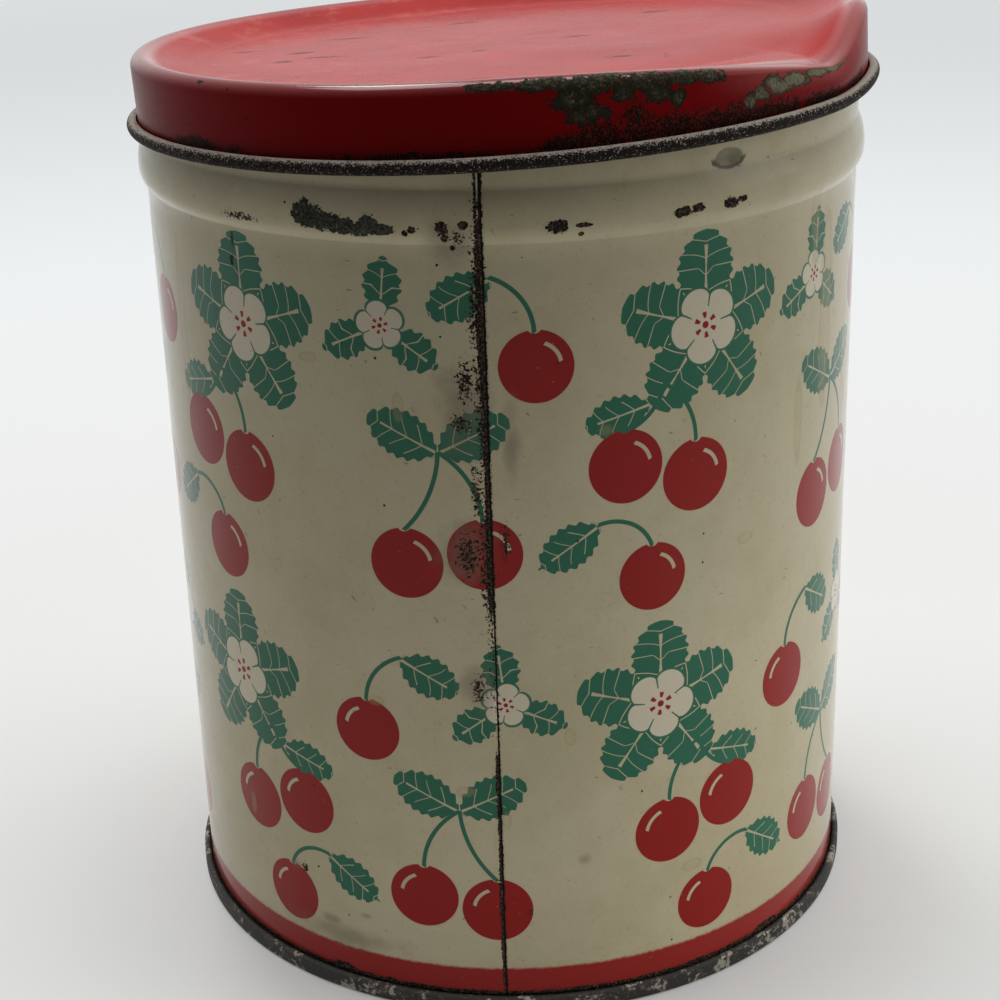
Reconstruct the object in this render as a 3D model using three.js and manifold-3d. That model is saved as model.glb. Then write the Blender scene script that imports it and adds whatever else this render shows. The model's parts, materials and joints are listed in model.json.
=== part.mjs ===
import * as THREE from 'three';
import Module from 'manifold-3d';
import { mergeVertices } from 'three/addons/utils/BufferGeometryUtils.js';

// Round tinplate canister with a slip lid that sits cocked and has a dented rim.
// Lengths are millimetres, angles are degrees and +Z is up.
// The origin is the centre of the plane that the bottom seam stands on.
// Angles round the axis start at the front, on -Y, and grow towards +X.

const wasm = await Module();
wasm.setup();

// Body sheet: a rolled wall with a lock side seam, a stop bead and a curled mouth
const bodyDiameter = 127;
const mouthHeight = 159.4;
const sheetThickness = 0.28;
const mouthCurlDiameter = 2;
const beadStandout = 1.25;
const beadLowerRise = 3.4;
const beadUpperRise = 5.4;
const beadDrop = 4.2; // from the lowest point of the lid's curl down to the bead's crest

// Lock side seam, four layers deep on the inside, with a groove outside
const seamAngle = -3.2;
const lockWidth = 4.6;
const lockGap = 0.08;
const grooveWidth = 1;
const grooveDepth = 0.18;
const cutOverrun = 0.4;

// Double seam that joins the bottom end to the body
const seamHeight = 3.2;
const seamClearance = 0.2;
const seamCornerRadius = 0.5;
const hookClearance = 0.2;
const compoundHeight = 0.36;
const compoundClearance = 0.15;

// Bottom end
const bottomThickness = 0.28;
const bottomRecess = 4;
const bottomCornerRadius = 1.2;
const bottomRingRadius = 48;
const bottomRingWidth = 5;
const bottomRingRise = 0.9;

// Lid
const lidThickness = 0.28;
const lidFit = 0.75; // gap between the skirt and the neck, if the lid sat square and central
const lidHeight = 13.1;
const lidCurlDiameter = 2.28;
const lidShoulderRadius = 2;
const lidPanelRadius = 54;
const lidPanelRecess = 3.2;
const curlTurn = 300;

// How the lid sits on the body
const lidRimClearance = 0.37; // least gap from the mouth to the underside of the rim
const lidShift = 0.3;
const lidLeanSide = 2.55; // right side up
const lidLeanBack = -1.16; // front up
const lidWarp = 0.62; // sides of the rim above its front and back

// Dent in the lid's rim at the front right
const dentDrop = 6.6;
const dentBulge = 1;
const dentStart = 0;
const dentDeepest = 56;
const dentEnd = 80;
const dentSlopePower = 1.7; // of the long slope that runs down to the deepest point
const dentCurlShare = 0.12; // of the rim's drop, at the curl
const dentSkirtShare = 0.78; // of the rim's drop, at the top of the skirt
const dentFadeShare = 0.64; // of the rim's radius, where the dent dies out on the panel
const leanPivotShare = 0.3; // of the lid's height, where the leaning lid turns

// Fineness of the solids
const bodySegments = 64;
const lidSegments = 72;
const arcStep = 45;
const beadSteps = 3;

// Places worked out from the sizes above
const degree = Math.PI / 180;
const bodyRadius = bodyDiameter / 2;
const wallRadius = bodyRadius - sheetThickness / 2;
const rimRadius = bodyRadius + lidFit + lidThickness - lidShoulderRadius;
const skirtRadius = bodyRadius + lidFit + lidThickness / 2;
const lidCrest = lidHeight - lidThickness / 2;
const lidCurlRadius = (lidCurlDiameter - lidThickness) / 2;
const lean = Math.hypot(Math.tan(lidLeanSide * degree), Math.tan(lidLeanBack * degree));
const lidSeat = mouthHeight + lidRimClearance - lidHeight + lidThickness + rimRadius * lean;
const lidLowest = lidSeat - (skirtRadius + lidCurlRadius) * lean;
const beadCrest = lidLowest - beadDrop;
const lockDepth = 4 * sheetThickness + 3 * lockGap;
const lockBottom = bottomRecess + bottomRingRise + bottomThickness + seamClearance;
const lockTop = mouthHeight - mouthCurlDiameter - seamClearance;
const chuckRadius = bodyRadius - sheetThickness - seamClearance - bottomThickness / 2;
const endHookRadius = bodyRadius + seamClearance + bottomThickness / 2;
const bodyHookRadius = endHookRadius + (bottomThickness + sheetThickness) / 2 + seamClearance;
const endWallRadius = bodyHookRadius + (bottomThickness + sheetThickness) / 2 + seamClearance;
const compoundBottom = bottomThickness + compoundClearance;
const compoundTop = compoundBottom + compoundHeight;
const flangeBottom = compoundTop + compoundClearance;

const point = (radius, height) => new THREE.Vector2(radius, height);
const { clamp } = THREE.MathUtils;

// Points along an arc, no more than arcStep apart unless a count is given
function arc(radius, centre, from, to, count = Math.ceil(Math.abs(to - from) / arcStep)) {
  return Array.from({ length: count + 1 }, (_, i) => {
    const angle = (from + ((to - from) * i) / count) * degree;
    return point(centre.x + radius * Math.cos(angle), centre.y + radius * Math.sin(angle));
  });
}

// Both faces of a sheet whose middle follows a path, as one outline
function sheetOutline(path, thickness) {
  const direction = (i) => path[i + 1].clone().sub(path[i]).normalize();
  const faces = [1, -1].map((side) => path.map((middle, i) => {
    const before = direction(Math.max(i - 1, 0));
    const after = direction(Math.min(i, path.length - 2));
    const along = before.clone().add(after).normalize();
    const reach = thickness / 2 / along.dot(after);
    return point(middle.x - side * along.y * reach, middle.y + side * along.x * reach);
  }));
  return [...faces[0], ...faces[1].reverse()];
}

// Turns an outline round the Z axis, closed on itself unless it ends on the axis
function turned(outline, segments) {
  const closed = outline[0].x > 0 ? [...outline, outline[0].clone()] : outline;
  const area = closed.reduce((sum, a, i) => {
    const b = closed[(i + 1) % closed.length];
    return sum + a.x * b.y - b.x * a.y;
  }, 0);
  const geometry = new THREE.LatheGeometry(area > 0 ? closed : closed.toReversed(), segments);
  return geometry.rotateX(Math.PI / 2);
}

// Sweeps a section up a wall. A section point is (distance round the wall, depth below its face)
// and a station is (radius of the face, height).
function sweptUpWall(section, stations) {
  const positions = [];
  for (const station of stations) {
    for (const { x: around, y: depth } of section) {
      const angle = seamAngle * degree + around / bodyRadius;
      const radius = station.x - depth;
      positions.push(radius * Math.sin(angle), -radius * Math.cos(angle), station.y);
    }
  }
  const count = section.length;
  const last = (stations.length - 1) * count;
  const indices = [];
  for (let row = 0; row < last; row += count) {
    for (let i = 0; i < count; i += 1) {
      const next = (i + 1) % count;
      indices.push(row + i, row + next, row + count + i);
      indices.push(row + next, row + count + next, row + count + i);
    }
  }
  for (const [a, b, c] of THREE.ShapeUtils.triangulateShape(section, [])) {
    indices.push(a, c, b, last + a, last + b, last + c);
  }
  const geometry = new THREE.BufferGeometry();
  geometry.setAttribute('position', new THREE.Float32BufferAttribute(positions, 3));
  geometry.setIndex(indices);
  return geometry;
}

function toSolid(geometry) {
  const bare = geometry.clone();
  bare.deleteAttribute('normal');
  bare.deleteAttribute('uv');
  const merged = mergeVertices(bare, lockGap / 100);
  const triVerts = Uint32Array.from(merged.index.array);
  const vertProperties = Float32Array.from(merged.attributes.position.array);
  return new wasm.Manifold(new wasm.Mesh({ numProp: 3, vertProperties, triVerts }));
}

function toGeometry(solid) {
  const { vertProperties, triVerts } = solid.getMesh();
  const geometry = new THREE.BufferGeometry();
  geometry.setAttribute('position', new THREE.BufferAttribute(vertProperties, 3));
  geometry.setIndex(new THREE.BufferAttribute(triVerts, 1));
  geometry.computeVertexNormals();
  return geometry;
}

// Half of the stop bead, from its root to its crest, as points of the sheet's middle
function beadFlank(rise, side) {
  const radius = (rise * rise + beadStandout * beadStandout) / (2 * beadStandout);
  const centre = point(wallRadius + beadStandout - radius, beadCrest);
  const reach = Math.asin(rise / radius) / degree;
  return arc(radius, centre, side * reach, 0, beadSteps);
}

// Middle of the wall between the bottom hook and the mouth's curl
function wallPath() {
  return [
    ...beadFlank(beadLowerRise, -1),
    ...beadFlank(beadUpperRise, 1).reverse().slice(1),
  ];
}

// The labyrinth between the two hooked edges of the sheet, as seen from below.
// The left edge is folded back on itself; the right edge passes under it and is folded up.
function lockSlit() {
  const layer = sheetThickness + lockGap;
  const left = -lockWidth + sheetThickness;
  const flare = (grooveWidth - lockGap) / 2;
  return [
    point(-flare, -grooveDepth),
    point(lockGap + flare, -grooveDepth),
    point(lockGap, sheetThickness - grooveDepth / 2),
    point(lockGap, 3 * layer),
    point(left, 3 * layer),
    point(left, 2 * layer - lockGap),
    point(-layer, 2 * layer - lockGap),
    point(-layer, layer),
    point(-lockWidth - cutOverrun, layer),
    point(-lockWidth - cutOverrun, sheetThickness),
    point(-sheetThickness, sheetThickness),
    point(-sheetThickness, 2 * layer),
    point(left + lockGap, 2 * layer),
    point(left + lockGap, 3 * layer - lockGap),
    point(0, 3 * layer - lockGap),
    point(0, sheetThickness - grooveDepth / 2),
  ];
}

function lockStrip() {
  const right = lockGap + sheetThickness;
  const top = sheetThickness / 2;
  return [point(-lockWidth, top), point(right, top), point(right, lockDepth), point(-lockWidth, lockDepth)];
}

function grooveSection() {
  const half = grooveWidth / 2;
  return [point(-half, -grooveDepth), point(half, -grooveDepth), point(0, grooveDepth)];
}

// Stations on the wall's outer face from one height to another
function wallStations(from, to) {
  const face = wallPath().map((middle) => point(middle.x + sheetThickness / 2, middle.y));
  return [point(bodyRadius, from), ...face, point(bodyRadius, to)];
}

function bodySheet() {
  const hookTurn = (bodyHookRadius - wallRadius) / 2;
  const hookCentre = point(wallRadius + hookTurn, flangeBottom + sheetThickness / 2 + hookTurn);
  const hookTip = seamHeight - bottomThickness - hookClearance;
  const curlRadius = (mouthCurlDiameter - sheetThickness) / 2;
  const curlCentre = point(wallRadius - curlRadius, mouthHeight - mouthCurlDiameter / 2);
  const path = [
    point(bodyHookRadius, hookTip),
    ...arc(hookTurn, hookCentre, 0, -180),
    ...wallPath(),
    ...arc(curlRadius, curlCentre, 0, curlTurn),
  ];
  const shell = toSolid(turned(sheetOutline(path, sheetThickness), bodySegments));
  const strip = toSolid(sweptUpWall(lockStrip(), wallStations(lockBottom, lockTop)));
  const slit = wallStations(lockBottom - cutOverrun, lockTop + cutOverrun);
  const groove = wallStations(seamHeight, mouthHeight - mouthCurlDiameter);
  const folded = shell.add(strip).subtract(toSolid(sweptUpWall(lockSlit(), slit)));
  return toGeometry(folded.subtract(toSolid(sweptUpWall(grooveSection(), groove))));
}

function bottomEnd() {
  const panel = bottomRecess + bottomThickness / 2;
  const corner = seamCornerRadius - bottomThickness / 2;
  const base = bottomThickness / 2 + corner;
  const turn = (endWallRadius - endHookRadius) / 2;
  const turnCentre = point(endHookRadius + turn, seamHeight - bottomThickness / 2 - turn);
  const step = bottomRingRise;
  const shoulder = point(chuckRadius - bottomCornerRadius, panel - bottomCornerRadius);
  const path = [
    point(0, panel),
    point(bottomRingRadius - step, panel),
    point(bottomRingRadius, panel + step),
    point(bottomRingRadius + bottomRingWidth, panel + step),
    point(bottomRingRadius + bottomRingWidth + step, panel),
    ...arc(bottomCornerRadius, shoulder, 90, 0),
    ...arc(corner, point(chuckRadius + corner, base), 180, 270),
    ...arc(corner, point(endWallRadius - corner, base), 270, 360),
    ...arc(turn, turnCentre, 0, 180),
    point(endHookRadius, flangeBottom + sheetThickness + hookClearance),
  ];
  return turned(sheetOutline(path, bottomThickness), bodySegments);
}

function seamCompound() {
  const inner = chuckRadius + bottomThickness / 2 + seamClearance + compoundClearance;
  const outer = endWallRadius - bottomThickness / 2 - seamClearance - compoundClearance;
  const chamfer = compoundHeight / 4;
  const outline = [
    point(inner + chamfer, compoundBottom),
    point(outer - chamfer, compoundBottom),
    point(outer, compoundBottom + chamfer),
    point(outer, compoundTop),
    point(inner, compoundTop),
    point(inner, compoundBottom + chamfer),
  ];
  return turned(outline, bodySegments);
}

// Share of the full dent at an angle round the rim: a long slope up to it, then a short fold
function dentShare(angle) {
  if (angle < dentDeepest) {
    return Math.max((angle - dentStart) / (dentDeepest - dentStart), 0) ** dentSlopePower;
  }
  return THREE.MathUtils.smoothstep(dentEnd - angle, 0, dentEnd - dentDeepest);
}

// Shares of the dent's drop and of its bulge at a point of the lid's path
function dentPlace(middle) {
  if (middle.x <= rimRadius) {
    const fadeRadius = dentFadeShare * rimRadius;
    return { drop: clamp((middle.x - fadeRadius) / (rimRadius - fadeRadius), 0, 1) ** 3, bulge: 0 };
  }
  const shoulderBottom = lidHeight - lidShoulderRadius;
  const onSkirt = clamp((middle.y - lidCurlDiameter) / (shoulderBottom - lidCurlDiameter), 0, 1);
  const onRim = clamp((middle.y - shoulderBottom) / (lidCrest - shoulderBottom), 0, 1);
  const onWall = THREE.MathUtils.lerp(dentCurlShare, dentSkirtShare, onSkirt);
  return {
    drop: THREE.MathUtils.lerp(onWall, 1, onRim),
    bulge: Math.sin(Math.PI * onSkirt),
  };
}

// Bends the lid out of its round, flat shape, in the lid's own frame.
// Both faces of the sheet move together, by the point of the path that they lie on.
function bend(geometry, path) {
  const position = geometry.attributes.position;
  const rows = 2 * path.length;
  for (let i = 0; i < position.count; i += 1) {
    const row = i % rows;
    const middle = path[Math.min(row, rows - 1 - row)];
    const turn = Math.atan2(position.getX(i), -position.getY(i));
    const dent = dentShare(turn / degree);
    const { drop, bulge } = dentPlace(middle);
    const radius = Math.hypot(position.getX(i), position.getY(i)) + dentBulge * bulge * dent;
    const warp = lidWarp * (middle.x / rimRadius) ** 2 * Math.cos(2 * turn);
    const height = position.getZ(i) - dentDrop * drop * dent - warp;
    position.setXYZ(i, radius * Math.sin(turn), -radius * Math.cos(turn), height);
  }
  return geometry;
}

function lidSheet() {
  const round = lidShoulderRadius - lidThickness / 2;
  const roundCentre = point(rimRadius, lidCrest - round);
  const panelEdge = point(lidPanelRadius, lidCrest - lidPanelRecess);
  const toCentre = roundCentre.clone().sub(panelEdge);
  const slope = toCentre.angle() / degree + Math.asin(round / toCentre.length()) / degree;
  const curlCentre = point(skirtRadius + lidCurlRadius, lidCurlDiameter / 2);
  const path = [
    point(0, panelEdge.y),
    point(lidPanelRadius / 2, panelEdge.y),
    panelEdge,
    ...arc(round, roundCentre, 90 + slope, 0),
    point(skirtRadius, (lidHeight + lidCurlDiameter) / 2),
    ...arc(lidCurlRadius, curlCentre, 180, 180 + curlTurn),
  ];
  return bend(turned(sheetOutline(path, lidThickness), lidSegments), path);
}

const creamPaint = new THREE.MeshStandardMaterial({ color: 0xdcd5b5, roughness: 0.35, metalness: 0 });
const redPaint = new THREE.MeshStandardMaterial({ color: 0xa8332f, roughness: 0.3, metalness: 0 });
const wornTinplate = new THREE.MeshStandardMaterial({ color: 0x6e665c, roughness: 0.5, metalness: 0.9 });
const darkRubber = new THREE.MeshStandardMaterial({ color: 0x4a443c, roughness: 0.9, metalness: 0 });

function piece(name, geometry, material) {
  const mesh = new THREE.Mesh(geometry, material);
  mesh.name = name;
  return mesh;
}

// The lid leans about a point on its axis a little above its curl
const leaning = new THREE.Group();
const lid = piece('lid', lidSheet(), redPaint);
lid.position.z = -leanPivotShare * lidHeight;
leaning.position.set(lidShift, 0, lidSeat - lid.position.z);
leaning.rotation.set(lidLeanBack * degree, -lidLeanSide * degree, 0);
leaning.add(lid);

const canister = new THREE.Group();
canister.add(piece('body_sheet', bodySheet(), creamPaint));
canister.add(piece('bottom_end', bottomEnd(), wornTinplate));
canister.add(piece('seam_compound', seamCompound(), darkRubber));
canister.add(leaning);

export default canister;
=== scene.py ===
"""Old tin canister with a printed body and a dented red slip lid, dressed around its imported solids.

Lengths in the making of the meshes are millimetres and are turned into metres at the end.
Angles round the canister start at the front, on -Y, and grow towards +X.
"""

import json
import math

import bmesh
import bpy
import numpy as np
from mathutils import Euler, Matrix, Vector

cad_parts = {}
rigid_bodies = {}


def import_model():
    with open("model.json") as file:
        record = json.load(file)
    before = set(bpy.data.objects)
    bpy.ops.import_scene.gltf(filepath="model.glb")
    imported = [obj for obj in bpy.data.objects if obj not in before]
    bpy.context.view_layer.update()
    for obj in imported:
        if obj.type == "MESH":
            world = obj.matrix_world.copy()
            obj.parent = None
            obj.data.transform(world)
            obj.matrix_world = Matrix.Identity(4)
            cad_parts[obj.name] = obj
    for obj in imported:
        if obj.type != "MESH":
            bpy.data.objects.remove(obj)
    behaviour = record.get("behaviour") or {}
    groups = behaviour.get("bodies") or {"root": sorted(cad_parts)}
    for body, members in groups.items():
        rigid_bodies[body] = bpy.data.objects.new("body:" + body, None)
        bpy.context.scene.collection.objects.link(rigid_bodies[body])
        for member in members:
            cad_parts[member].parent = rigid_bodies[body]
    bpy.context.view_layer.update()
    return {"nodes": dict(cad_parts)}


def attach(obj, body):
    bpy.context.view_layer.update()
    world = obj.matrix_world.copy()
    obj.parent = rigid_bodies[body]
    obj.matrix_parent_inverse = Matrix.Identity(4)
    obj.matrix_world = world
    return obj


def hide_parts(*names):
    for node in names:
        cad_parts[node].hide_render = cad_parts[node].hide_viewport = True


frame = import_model()

bl_info = {
    "name": "Tin canister",
    "version": (1, 0, 0),
    "blender": (4, 5, 0),
    "location": "View3D > Sidebar > Canister",
    "description": "Builds an old printed tin canister with a dented slip lid",
    "category": "Object",
}

MM = 0.001
TURN = 2 * math.pi


# Settings


class CanisterSizes(bpy.types.PropertyGroup):
    """Sizes of the tin's sheets, curls and seams"""

    body_diameter: bpy.props.FloatProperty(
        name="Body diameter", description="Across the plain wall", default=0.127, unit="LENGTH")
    mouth_height: bpy.props.FloatProperty(
        name="Mouth height", description="Top of the body's curl", default=0.1594, unit="LENGTH")
    sheet: bpy.props.FloatProperty(
        name="Sheet", description="Thickness of the tinplate", default=0.00028, unit="LENGTH")
    bead_crest: bpy.props.FloatProperty(
        name="Bead crest", description="Height of the stop bead's crest", default=0.14261, unit="LENGTH")
    bead_standout: bpy.props.FloatProperty(
        name="Bead standout", description="How far the bead stands out", default=0.00125, unit="LENGTH")
    lid_height: bpy.props.FloatProperty(
        name="Lid height", description="From the curl to the rim's crest", default=0.0131, unit="LENGTH")
    lid_seat: bpy.props.FloatProperty(
        name="Lid seat", description="Height of the middle of the lid's curl",
        default=0.150009, unit="LENGTH")
    dent_drop: bpy.props.FloatProperty(
        name="Dent", description="How far the dented rim is pushed down", default=0.0066, unit="LENGTH")
    band_top: bpy.props.FloatProperty(
        name="Band top", description="Height of the top of the red band", default=0.0085, unit="LENGTH")


class CanisterColours(bpy.types.PropertyGroup):
    """Colours of the print, the enamel and the bare metal"""

    cream: bpy.props.FloatVectorProperty(
        name="Cream", description="Ground of the print",
        subtype="COLOR", size=3, default=(0.455, 0.4, 0.268))
    fruit: bpy.props.FloatVectorProperty(
        name="Fruit", description="Red of the cherries",
        subtype="COLOR", size=3, default=(0.24, 0.008, 0.005))
    leaf: bpy.props.FloatVectorProperty(
        name="Leaf", description="Green of leaves and stalks",
        subtype="COLOR", size=3, default=(0.022, 0.118, 0.068))
    petal: bpy.props.FloatVectorProperty(
        name="Petal", description="Pale petals of the blossom",
        subtype="COLOR", size=3, default=(0.54, 0.48, 0.36))
    band: bpy.props.FloatVectorProperty(
        name="Band", description="Red band at the foot",
        subtype="COLOR", size=3, default=(0.26, 0.016, 0.012))
    enamel: bpy.props.FloatVectorProperty(
        name="Enamel", description="Red enamel of the lid",
        subtype="COLOR", size=3, default=(0.165, 0.0015, 0.0025))
    rust: bpy.props.FloatVectorProperty(
        name="Rust", description="Brown rust",
        subtype="COLOR", size=3, default=(0.065, 0.042, 0.03))
    soot: bpy.props.FloatVectorProperty(
        name="Dark oxide", description="Near black oxide in chips", subtype="COLOR", size=3,
        default=(0.009, 0.008, 0.006))
    tin: bpy.props.FloatVectorProperty(
        name="Tin", description="Bare worn tinplate",
        subtype="COLOR", size=3, default=(0.34, 0.295, 0.25))


class CanisterStudio(bpy.types.PropertyGroup):
    """Lamps, floor and camera"""

    top: bpy.props.FloatProperty(name="Top", description="Softbox above, in watts", default=10.1)
    right: bpy.props.FloatProperty(name="Right", description="Softbox on the right, in watts", default=1.35)
    glint: bpy.props.FloatProperty(name="Glint", description="Small lamp for glints, in watts", default=1.6)
    low: bpy.props.FloatProperty(name="Low", description="Low fill in front, in watts", default=0.075)
    sky: bpy.props.FloatProperty(name="Sky", description="Share of the world's glow", default=1.0)
    lens: bpy.props.FloatProperty(name="Lens", description="Focal length in mm", default=69.93)


def sizes():
    return bpy.context.scene.canister_sizes


def colours():
    return bpy.context.scene.canister_colours


# Shader maths in plain Python


class Wire:
    """An output socket that takes part in Python expressions."""

    def __init__(self, paint, socket):
        self.paint = paint
        self.socket = socket

    def maths(self, operation, *others):
        inputs = {place: value for place, value in enumerate((self, *others))}
        return self.paint.node("Math", {"operation": operation}, inputs)

    def turned_round(self, operation, other):
        return self.paint.node("Math", {"operation": operation}, {0: other, 1: self})

    def __add__(self, other):
        return self.maths("ADD", other)

    def __sub__(self, other):
        return self.maths("SUBTRACT", other)

    def __rsub__(self, other):
        return self.turned_round("SUBTRACT", other)

    def __mul__(self, other):
        return self.maths("MULTIPLY", other)

    def __truediv__(self, other):
        return self.maths("DIVIDE", other)

    def __rtruediv__(self, other):
        return self.turned_round("DIVIDE", other)

    def __pow__(self, other):
        return self.maths("POWER", other)

    def __lt__(self, other):
        return self.maths("LESS_THAN", other)

    def __gt__(self, other):
        return self.maths("GREATER_THAN", other)

    def __and__(self, other):
        return self.maths("MULTIPLY", other)

    def __or__(self, other):
        return self.maths("MAXIMUM", other)

    def __abs__(self):
        return self.maths("ABSOLUTE")

    __radd__ = __add__
    __rmul__ = __mul__
    __rand__ = __and__
    __ror__ = __or__


class Paint:
    """The node tree of one material or of the world."""

    def __init__(self, owner):
        self.owner = owner
        owner.use_nodes = True
        self.tree = owner.node_tree
        self.tree.nodes.clear()

    @classmethod
    def named(cls, name):
        return cls(bpy.data.materials.new(name))

    def node(self, kind, settings=None, inputs=None, output=0):
        """Add one node: its settings first, then the values or links of its sockets."""
        made = self.tree.nodes.new("ShaderNode" + kind)
        for key, value in (settings or {}).items():
            if key == "stops":
                self.stops(made.color_ramp, value)
            else:
                setattr(made, key, value)
        for key, value in (inputs or {}).items():
            self.feed(self.socket(made.inputs, key), value)
        return Wire(self, self.socket(made.outputs, output)) if len(made.outputs) else None

    @staticmethod
    def socket(sockets, key):
        if isinstance(key, int):
            return sockets[key]
        for socket in sockets:
            if key in (socket.identifier, socket.name) and socket.enabled:
                return socket
        raise KeyError(key)

    @staticmethod
    def stops(ramp, values):
        while len(ramp.elements) < len(values):
            ramp.elements.new(0.5)
        for element, (place, colour) in zip(ramp.elements, values):
            element.position = place
            element.color = (*colour, 1)

    def feed(self, socket, value):
        if isinstance(value, Wire):
            self.tree.links.new(value.socket, socket)
        elif isinstance(value, (int, float)):
            socket.default_value = value
        else:
            value = tuple(value)
            socket.default_value = value if len(value) == len(socket.default_value) else (*value, 1)

    def mix(self, share, first, second):
        """Mix two colours."""
        return self.node("Mix", {"data_type": "RGBA"},
                         {"Factor_Float": share, "A_Color": first, "B_Color": second}, "Result_Color")

    def vector(self, operation, *values, output=0):
        inputs = {place: value for place, value in enumerate(values)}
        return self.node("VectorMath", {"operation": operation}, inputs, output)

    def distance(self, place, centre):
        return self.vector("DISTANCE", place, centre, output="Value")

    def along(self, place, direction):
        return self.vector("DOT_PRODUCT", place, direction, output="Value")

    def point(self):
        """Place on the object, in metres."""
        return self.node("TexCoord", output="Object")

    def unrolled(self):
        """Distance round the sheet and along its path, in metres, from the UV map."""
        return self.node("UVMap", {"uv_map": "unrolled"})

    def split(self, place):
        made = self.node("SeparateXYZ", inputs={0: place}).socket.node
        return [Wire(self, output) for output in made.outputs]

    def join(self, x=0.0, y=0.0, z=0.0):
        return self.node("CombineXYZ", inputs={0: x, 1: y, 2: z})

    def stretched(self, place, x, y, z):
        return self.vector("MULTIPLY", place, (x, y, z))

    def grain(self, place, size, detail=3.0, roughness=0.5):
        """Noise from 0 to 1 with features about one size across, in metres."""
        return self.node("TexNoise", {"noise_dimensions": "3D"}, {
            "Vector": place, "Scale": 1 / size, "Detail": detail, "Roughness": roughness})

    def stipple(self, place, spacing, density, size=0.32):
        """Scattered dots. The density is the share of places that hold one."""
        made = self.node("TexVoronoi", {"feature": "F1"}, {
            "Vector": place, "Scale": 1 / spacing}).socket.node
        distance, colour = Wire(self, made.outputs["Distance"]), Wire(self, made.outputs["Color"])
        chance, grade, _ = self.split(colour)
        return (distance < grade * size) & (chance < density)

    def speckle(self, place, size, density):
        """Grainy spots of one size that cover about the given share of the surface."""
        return self.grain(place, size, 2.0, 0.6) > (0.78 - density * 0.34)

    def between(self, value, low, high):
        """A smooth step from 0 at low to 1 at high, which may be the lower number."""
        return self.node("MapRange", {"interpolation_type": "SMOOTHSTEP"}, {
            "Value": value, "From Min": low, "From Max": high, "To Min": 0.0, "To Max": 1.0})

    def zone(self, place, spots):
        """Least distance from a list of spots, as a share of each one's half width and height."""
        least = None
        for across, up, half_width, half_height in spots:
            scale = (1 / (half_width * MM), 1 / (half_height * MM), 0)
            shift = (-across / half_width, -up / half_height, 0)
            offset = self.vector("MULTIPLY_ADD", place, scale, shift)
            length = self.vector("LENGTH", offset, output="Value")
            least = length if least is None else least.maths("MINIMUM", length)
        return least

    def bump(self, height, distance):
        return self.node("Bump", inputs={"Height": height, "Distance": distance, "Strength": 1.0})

    def finish(self, **values):
        """Close the tree with a Principled shader."""
        inputs = {key.replace("_", " "): value for key, value in values.items()}
        shader = self.node("BsdfPrincipled", inputs=inputs)
        self.node("OutputMaterial", inputs={"Surface": shader})
        return self.owner


# Meshes of bent sheet


def arc(radius, centre, start, end, step=15):
    """Points of an arc. Angles are degrees from the outward direction."""
    count = max(2, math.ceil(abs(end - start) / step))
    angles = np.radians(np.linspace(start, end, count + 1))
    return [(centre[0] + radius * math.cos(a), centre[1] + radius * math.sin(a)) for a in angles]


def steps(first, last, length):
    """Points from one place to another, about one length apart, without the two ends."""
    first, last = np.array(first, float), np.array(last, float)
    count = max(1, round(float(np.hypot(*(last - first))) / length))
    return [tuple(first + (last - first) * i / count) for i in range(1, count)]


def faces_of(path, thickness):
    """The two faces of a sheet whose middle follows a path."""
    way = np.diff(path, axis=0)
    way /= np.hypot(way[:, 0], way[:, 1])[:, None]
    before, after = np.vstack([way[:1], way]), np.vstack([way, way[-1:]])
    along = before + after
    along /= np.hypot(along[:, 0], along[:, 1])[:, None]
    reach = thickness / 2 / (along * after).sum(1)
    out = np.stack([-along[:, 1], along[:, 0]], 1) * reach[:, None]
    return path + out, path - out


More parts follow.
